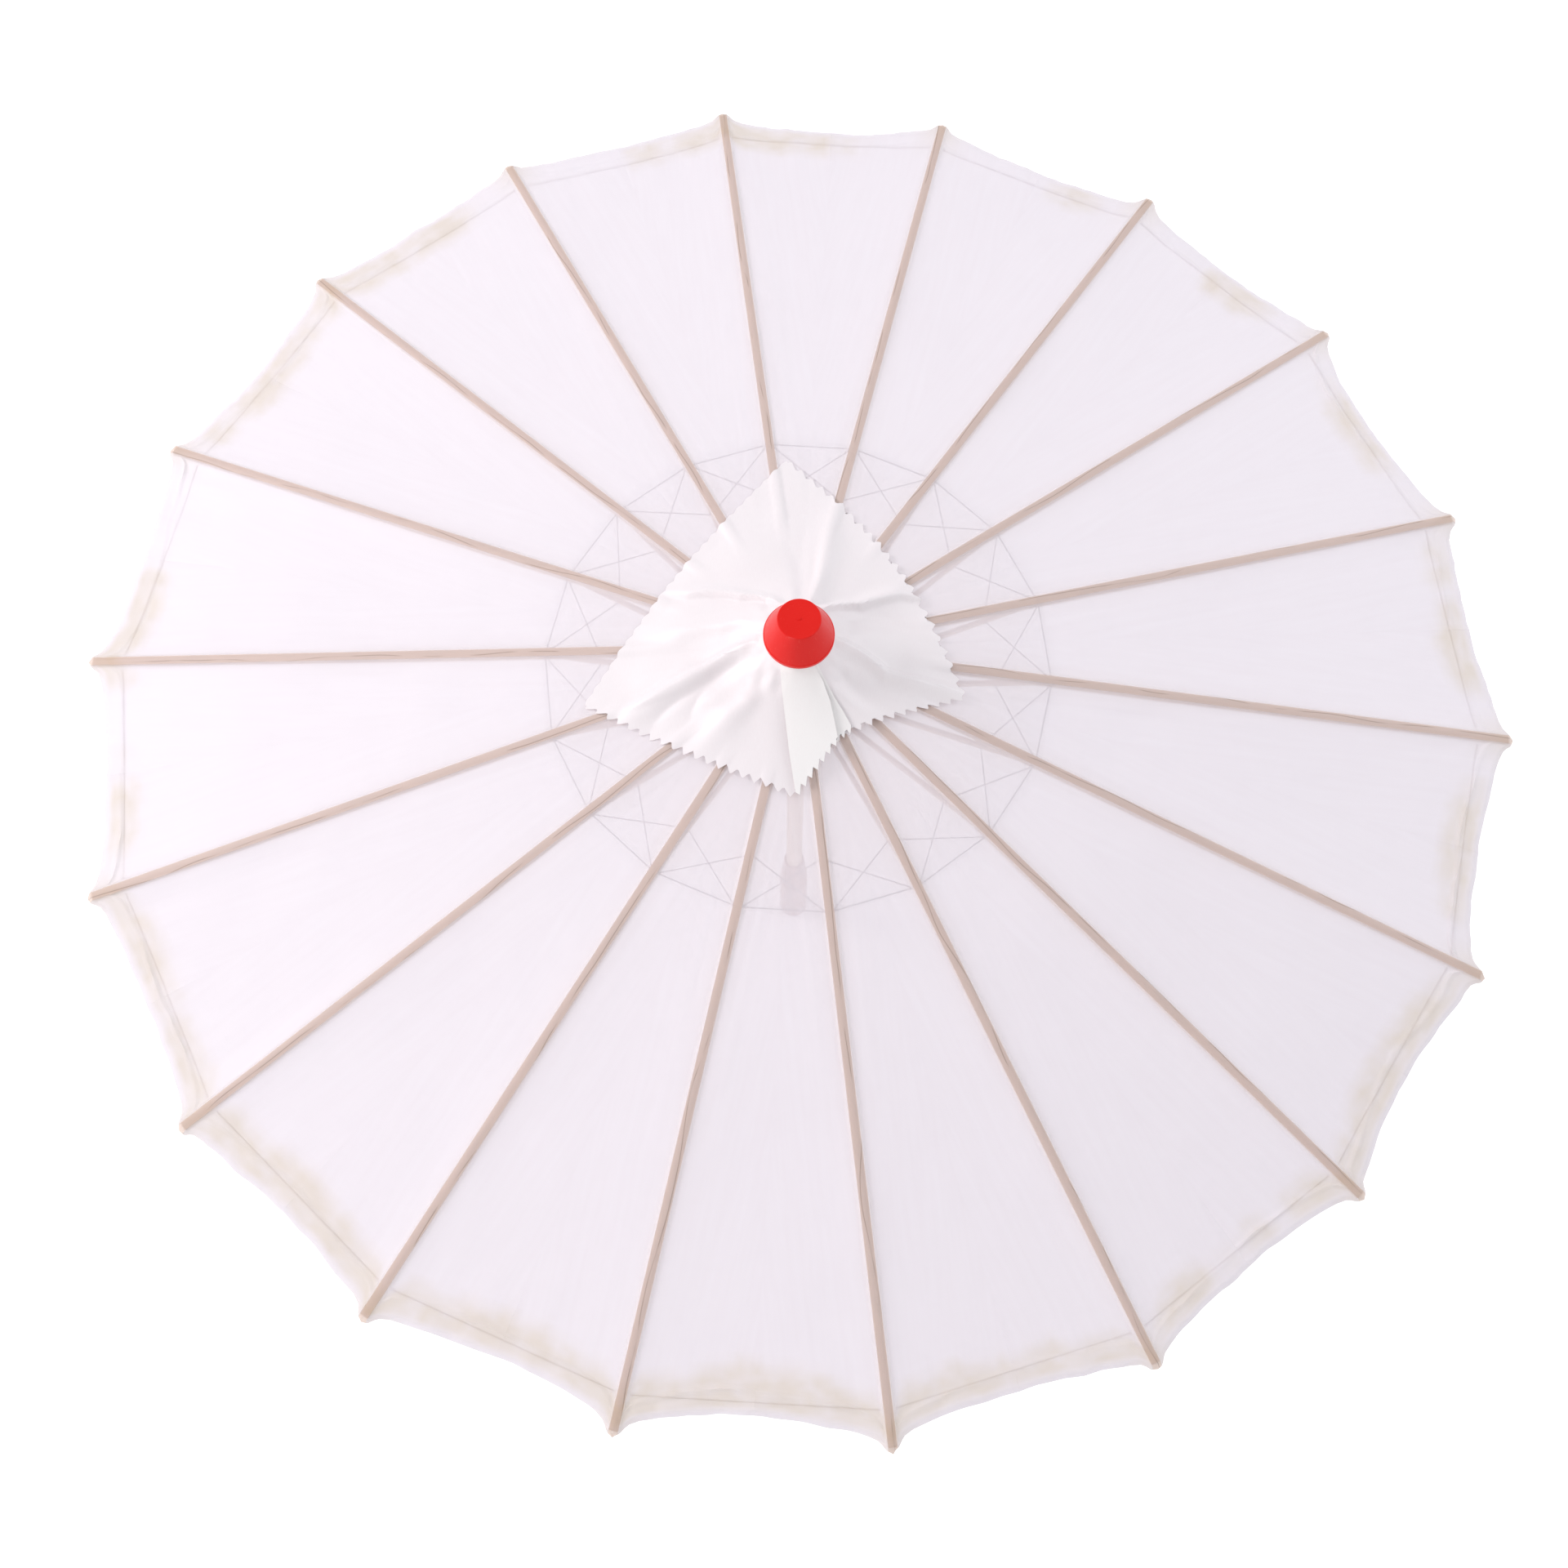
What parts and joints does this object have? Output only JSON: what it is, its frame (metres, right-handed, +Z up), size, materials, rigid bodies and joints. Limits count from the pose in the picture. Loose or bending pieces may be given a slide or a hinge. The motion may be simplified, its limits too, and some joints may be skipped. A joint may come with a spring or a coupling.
{
  "type": "folding parasol",
  "caption": "Round white cloth parasol on straight bamboo ribs, with a square top cloth under a red cap, a sliding runner with jointed stretchers, and a straight handle.",
  "frame": {"origin": "centre of the handle's bottom face, on the shaft's axis", "axes": "+Z up the shaft towards the cap, +X along rib_01, +Y along the plane between rib_05 and rib_06; the parasol is fully open at rest"},
  "size_m": [0.82, 0.8084, 0.55],
  "materials": {
    "shaft_wood": "satin",
    "handle_wood": "varnished",
    "turned_wood": "satin",
    "bamboo": "satin",
    "wire": "drawn wire",
    "spring_steel": "blued",
    "catch_brass": "brushed",
    "cap_plastic": "gloss",
    "canopy_cloth": "sheer plain weave",
    "satin": "satin weave",
    "thread": "cotton"
  },
  "bodies": {
    "shaft_and_notch": {"shaft": "shaft_wood", "handle": "handle_wood", "top_notch": "turned_wood", "notch_wire": "wire", "notch_pin": "wire", "cap": "cap_plastic", "top_cloth": "satin", "stop_pin": "wire", "catch_pin": "wire", "catch_spring": "spring_steel", "web_thread": "thread", "rim_thread": "thread"},
    "rib_01": {"rib_01": "bamboo"},
    "rib_02": {"rib_02": "bamboo", "canopy_panel_1": "canopy_cloth"},
    "rib_03": {"rib_03": "bamboo"},
    "rib_04": {"rib_04": "bamboo", "canopy_panel_2": "canopy_cloth"},
    "rib_05": {"rib_05": "bamboo"},
    "rib_06": {"rib_06": "bamboo", "canopy_panel_3": "canopy_cloth"},
    "rib_07": {"rib_07": "bamboo"},
    "rib_08": {"rib_08": "bamboo", "canopy_panel_4": "canopy_cloth"},
    "rib_09": {"rib_09": "bamboo"},
    "rib_10": {"rib_10": "bamboo", "canopy_panel_5": "canopy_cloth"},
    "rib_11": {"rib_11": "bamboo"},
    "rib_12": {"rib_12": "bamboo", "canopy_panel_6": "canopy_cloth"},
    "rib_13": {"rib_13": "bamboo"},
    "rib_14": {"rib_14": "bamboo", "canopy_panel_7": "canopy_cloth"},
    "rib_15": {"rib_15": "bamboo"},
    "rib_16": {"rib_16": "bamboo", "canopy_panel_8": "canopy_cloth"},
    "rib_17": {"rib_17": "bamboo"},
    "rib_18": {"rib_18": "bamboo", "canopy_panel_9": "canopy_cloth"},
    "stretcher_01": {"stretcher_01": "bamboo"},
    "stretcher_02": {"stretcher_02": "bamboo"},
    "stretcher_03": {"stretcher_03": "bamboo"},
    "stretcher_04": {"stretcher_04": "bamboo"},
    "stretcher_05": {"stretcher_05": "bamboo"},
    "stretcher_06": {"stretcher_06": "bamboo"},
    "stretcher_07": {"stretcher_07": "bamboo"},
    "stretcher_08": {"stretcher_08": "bamboo"},
    "stretcher_09": {"stretcher_09": "bamboo"},
    "stretcher_10": {"stretcher_10": "bamboo"},
    "stretcher_11": {"stretcher_11": "bamboo"},
    "stretcher_12": {"stretcher_12": "bamboo"},
    "stretcher_13": {"stretcher_13": "bamboo"},
    "stretcher_14": {"stretcher_14": "bamboo"},
    "stretcher_15": {"stretcher_15": "bamboo"},
    "stretcher_16": {"stretcher_16": "bamboo"},
    "stretcher_17": {"stretcher_17": "bamboo"},
    "stretcher_18": {"stretcher_18": "bamboo"},
    "runner": {"runner": "turned_wood", "runner_wire": "wire"},
    "catch": {"catch": "catch_brass"}
  },
  "joints": [
    {"name": "rib_01_fold", "type": "hinge", "parent": "shaft_and_notch", "child": "rib_01", "pos_m": [0.017, 0, 0.505], "axis": [0, 1, 0], "range_deg": [0, 75], "deforming": ["canopy_panel_1", "canopy_panel_2", "canopy_panel_3", "canopy_panel_4", "canopy_panel_5", "canopy_panel_6", "canopy_panel_7", "canopy_panel_8", "canopy_panel_9", "top_cloth", "web_thread", "rim_thread", "catch"]},
    {"name": "rib_02_fold", "type": "hinge", "parent": "shaft_and_notch", "child": "rib_02", "pos_m": [0.01597, 0.00581, 0.505], "axis": [-0.342, 0.9397, 0], "range_deg": [0, 75]},
    {"name": "rib_03_fold", "type": "hinge", "parent": "shaft_and_notch", "child": "rib_03", "pos_m": [0.01302, 0.01093, 0.505], "axis": [-0.6428, 0.766, 0], "range_deg": [0, 75]},
    {"name": "rib_04_fold", "type": "hinge", "parent": "shaft_and_notch", "child": "rib_04", "pos_m": [0.0085, 0.01472, 0.505], "axis": [-0.866, 0.5, 0], "range_deg": [0, 75]},
    {"name": "rib_05_fold", "type": "hinge", "parent": "shaft_and_notch", "child": "rib_05", "pos_m": [0.00295, 0.01674, 0.505], "axis": [-0.9848, 0.1736, 0], "range_deg": [0, 75]},
    {"name": "rib_06_fold", "type": "hinge", "parent": "shaft_and_notch", "child": "rib_06", "pos_m": [-0.00295, 0.01674, 0.505], "axis": [-0.9848, -0.1736, 0], "range_deg": [0, 75]},
    {"name": "rib_07_fold", "type": "hinge", "parent": "shaft_and_notch", "child": "rib_07", "pos_m": [-0.0085, 0.01472, 0.505], "axis": [-0.866, -0.5, 0], "range_deg": [0, 75]},
    {"name": "rib_08_fold", "type": "hinge", "parent": "shaft_and_notch", "child": "rib_08", "pos_m": [-0.01302, 0.01093, 0.505], "axis": [-0.6428, -0.766, 0], "range_deg": [0, 75]},
    {"name": "rib_09_fold", "type": "hinge", "parent": "shaft_and_notch", "child": "rib_09", "pos_m": [-0.01597, 0.00581, 0.505], "axis": [-0.342, -0.9397, 0], "range_deg": [0, 75]},
    {"name": "rib_10_fold", "type": "hinge", "parent": "shaft_and_notch", "child": "rib_10", "pos_m": [-0.017, 0, 0.505], "axis": [0, -1, 0], "range_deg": [0, 75]},
    {"name": "rib_11_fold", "type": "hinge", "parent": "shaft_and_notch", "child": "rib_11", "pos_m": [-0.01597, -0.00581, 0.505], "axis": [0.342, -0.9397, 0], "range_deg": [0, 75]},
    {"name": "rib_12_fold", "type": "hinge", "parent": "shaft_and_notch", "child": "rib_12", "pos_m": [-0.01302, -0.01093, 0.505], "axis": [0.6428, -0.766, 0], "range_deg": [0, 75]},
    {"name": "rib_13_fold", "type": "hinge", "parent": "shaft_and_notch", "child": "rib_13", "pos_m": [-0.0085, -0.01472, 0.505], "axis": [0.866, -0.5, 0], "range_deg": [0, 75]},
    {"name": "rib_14_fold", "type": "hinge", "parent": "shaft_and_notch", "child": "rib_14", "pos_m": [-0.00295, -0.01674, 0.505], "axis": [0.9848, -0.1736, 0], "range_deg": [0, 75]},
    {"name": "rib_15_fold", "type": "hinge", "parent": "shaft_and_notch", "child": "rib_15", "pos_m": [0.00295, -0.01674, 0.505], "axis": [0.9848, 0.1736, 0], "range_deg": [0, 75]},
    {"name": "rib_16_fold", "type": "hinge", "parent": "shaft_and_notch", "child": "rib_16", "pos_m": [0.0085, -0.01472, 0.505], "axis": [0.866, 0.5, 0], "range_deg": [0, 75]},
    {"name": "rib_17_fold", "type": "hinge", "parent": "shaft_and_notch", "child": "rib_17", "pos_m": [0.01302, -0.01093, 0.505], "axis": [0.6428, 0.766, 0], "range_deg": [0, 75]},
    {"name": "rib_18_fold", "type": "hinge", "parent": "shaft_and_notch", "child": "rib_18", "pos_m": [0.01597, -0.00581, 0.505], "axis": [0.342, 0.9397, 0], "range_deg": [0, 75]},
    {"name": "stretcher_01_pivot", "type": "hinge", "parent": "rib_01", "child": "stretcher_01", "pos_m": [0.14069, 0, 0.48096], "axis": [0, 1, 0], "range_deg": [-150, 0]},
    {"name": "stretcher_02_pivot", "type": "hinge", "parent": "rib_02", "child": "stretcher_02", "pos_m": [0.1322, 0.04812, 0.48096], "axis": [-0.342, 0.9397, 0], "range_deg": [-150, 0]},
    {"name": "stretcher_03_pivot", "type": "hinge", "parent": "rib_03", "child": "stretcher_03", "pos_m": [0.10777, 0.09043, 0.48096], "axis": [-0.6428, 0.766, 0], "range_deg": [-150, 0]},
    {"name": "stretcher_04_pivot", "type": "hinge", "parent": "rib_04", "child": "stretcher_04", "pos_m": [0.07034, 0.12184, 0.48096], "axis": [-0.866, 0.5, 0], "range_deg": [-150, 0]},
    {"name": "stretcher_05_pivot", "type": "hinge", "parent": "rib_05", "child": "stretcher_05", "pos_m": [0.02443, 0.13855, 0.48096], "axis": [-0.9848, 0.1736, 0], "range_deg": [-150, 0]},
    {"name": "stretcher_06_pivot", "type": "hinge", "parent": "rib_06", "child": "stretcher_06", "pos_m": [-0.02443, 0.13855, 0.48096], "axis": [-0.9848, -0.1736, 0], "range_deg": [-150, 0]},
    {"name": "stretcher_07_pivot", "type": "hinge", "parent": "rib_07", "child": "stretcher_07", "pos_m": [-0.07034, 0.12184, 0.48096], "axis": [-0.866, -0.5, 0], "range_deg": [-150, 0]},
    {"name": "stretcher_08_pivot", "type": "hinge", "parent": "rib_08", "child": "stretcher_08", "pos_m": [-0.10777, 0.09043, 0.48096], "axis": [-0.6428, -0.766, 0], "range_deg": [-150, 0]},
    {"name": "stretcher_09_pivot", "type": "hinge", "parent": "rib_09", "child": "stretcher_09", "pos_m": [-0.1322, 0.04812, 0.48096], "axis": [-0.342, -0.9397, 0], "range_deg": [-150, 0]},
    {"name": "stretcher_10_pivot", "type": "hinge", "parent": "rib_10", "child": "stretcher_10", "pos_m": [-0.14069, 0, 0.48096], "axis": [0, -1, 0], "range_deg": [-150, 0]},
    {"name": "stretcher_11_pivot", "type": "hinge", "parent": "rib_11", "child": "stretcher_11", "pos_m": [-0.1322, -0.04812, 0.48096], "axis": [0.342, -0.9397, 0], "range_deg": [-150, 0]},
    {"name": "stretcher_12_pivot", "type": "hinge", "parent": "rib_12", "child": "stretcher_12", "pos_m": [-0.10777, -0.09043, 0.48096], "axis": [0.6428, -0.766, 0], "range_deg": [-150, 0]},
    {"name": "stretcher_13_pivot", "type": "hinge", "parent": "rib_13", "child": "stretcher_13", "pos_m": [-0.07034, -0.12184, 0.48096], "axis": [0.866, -0.5, 0], "range_deg": [-150, 0]},
    {"name": "stretcher_14_pivot", "type": "hinge", "parent": "rib_14", "child": "stretcher_14", "pos_m": [-0.02443, -0.13855, 0.48096], "axis": [0.9848, -0.1736, 0], "range_deg": [-150, 0]},
    {"name": "stretcher_15_pivot", "type": "hinge", "parent": "rib_15", "child": "stretcher_15", "pos_m": [0.02443, -0.13855, 0.48096], "axis": [0.9848, 0.1736, 0], "range_deg": [-150, 0]},
    {"name": "stretcher_16_pivot", "type": "hinge", "parent": "rib_16", "child": "stretcher_16", "pos_m": [0.07034, -0.12184, 0.48096], "axis": [0.866, 0.5, 0], "range_deg": [-150, 0]},
    {"name": "stretcher_17_pivot", "type": "hinge", "parent": "rib_17", "child": "stretcher_17", "pos_m": [0.10777, -0.09043, 0.48096], "axis": [0.6428, 0.766, 0], "range_deg": [-150, 0]},
    {"name": "stretcher_18_pivot", "type": "hinge", "parent": "rib_18", "child": "stretcher_18", "pos_m": [0.1322, -0.04812, 0.48096], "axis": [0.342, 0.9397, 0], "range_deg": [-150, 0]},
    {"name": "runner_pivot", "type": "hinge", "parent": "stretcher_01", "child": "runner", "pos_m": [0.017, 0, 0.45692], "axis": [0, 1, 0], "range_deg": [0, 75]},
    {"name": "catch_press", "type": "hinge", "parent": "shaft_and_notch", "child": "catch", "pos_m": [0, -0.002, 0.38092], "axis": [-1, 0, 0], "range_deg": [0, 7], "stiffness_Nm_per_rad": 0.3, "springref_deg": -8.59, "deforming": ["catch_spring"]}
  ],
  "couplings": [
    {"joint": "rib_02_fold", "follows": "rib_01_fold", "ratio": 1},
    {"joint": "rib_03_fold", "follows": "rib_01_fold", "ratio": 1},
    {"joint": "rib_04_fold", "follows": "rib_01_fold", "ratio": 1},
    {"joint": "rib_05_fold", "follows": "rib_01_fold", "ratio": 1},
    {"joint": "rib_06_fold", "follows": "rib_01_fold", "ratio": 1},
    {"joint": "rib_07_fold", "follows": "rib_01_fold", "ratio": 1},
    {"joint": "rib_08_fold", "follows": "rib_01_fold", "ratio": 1},
    {"joint": "rib_09_fold", "follows": "rib_01_fold", "ratio": 1},
    {"joint": "rib_10_fold", "follows": "rib_01_fold", "ratio": 1},
    {"joint": "rib_11_fold", "follows": "rib_01_fold", "ratio": 1},
    {"joint": "rib_12_fold", "follows": "rib_01_fold", "ratio": 1},
    {"joint": "rib_13_fold", "follows": "rib_01_fold", "ratio": 1},
    {"joint": "rib_14_fold", "follows": "rib_01_fold", "ratio": 1},
    {"joint": "rib_15_fold", "follows": "rib_01_fold", "ratio": 1},
    {"joint": "rib_16_fold", "follows": "rib_01_fold", "ratio": 1},
    {"joint": "rib_17_fold", "follows": "rib_01_fold", "ratio": 1},
    {"joint": "rib_18_fold", "follows": "rib_01_fold", "ratio": 1},
    {"joint": "stretcher_01_pivot", "follows": "rib_01_fold", "ratio": -2},
    {"joint": "stretcher_02_pivot", "follows": "rib_01_fold", "ratio": -2},
    {"joint": "stretcher_03_pivot", "follows": "rib_01_fold", "ratio": -2},
    {"joint": "stretcher_04_pivot", "follows": "rib_01_fold", "ratio": -2},
    {"joint": "stretcher_05_pivot", "follows": "rib_01_fold", "ratio": -2},
    {"joint": "stretcher_06_pivot", "follows": "rib_01_fold", "ratio": -2},
    {"joint": "stretcher_07_pivot", "follows": "rib_01_fold", "ratio": -2},
    {"joint": "stretcher_08_pivot", "follows": "rib_01_fold", "ratio": -2},
    {"joint": "stretcher_09_pivot", "follows": "rib_01_fold", "ratio": -2},
    {"joint": "stretcher_10_pivot", "follows": "rib_01_fold", "ratio": -2},
    {"joint": "stretcher_11_pivot", "follows": "rib_01_fold", "ratio": -2},
    {"joint": "stretcher_12_pivot", "follows": "rib_01_fold", "ratio": -2},
    {"joint": "stretcher_13_pivot", "follows": "rib_01_fold", "ratio": -2},
    {"joint": "stretcher_14_pivot", "follows": "rib_01_fold", "ratio": -2},
    {"joint": "stretcher_15_pivot", "follows": "rib_01_fold", "ratio": -2},
    {"joint": "stretcher_16_pivot", "follows": "rib_01_fold", "ratio": -2},
    {"joint": "stretcher_17_pivot", "follows": "rib_01_fold", "ratio": -2},
    {"joint": "stretcher_18_pivot", "follows": "rib_01_fold", "ratio": -2},
    {"joint": "runner_pivot", "follows": "rib_01_fold", "ratio": 1}
  ]
}
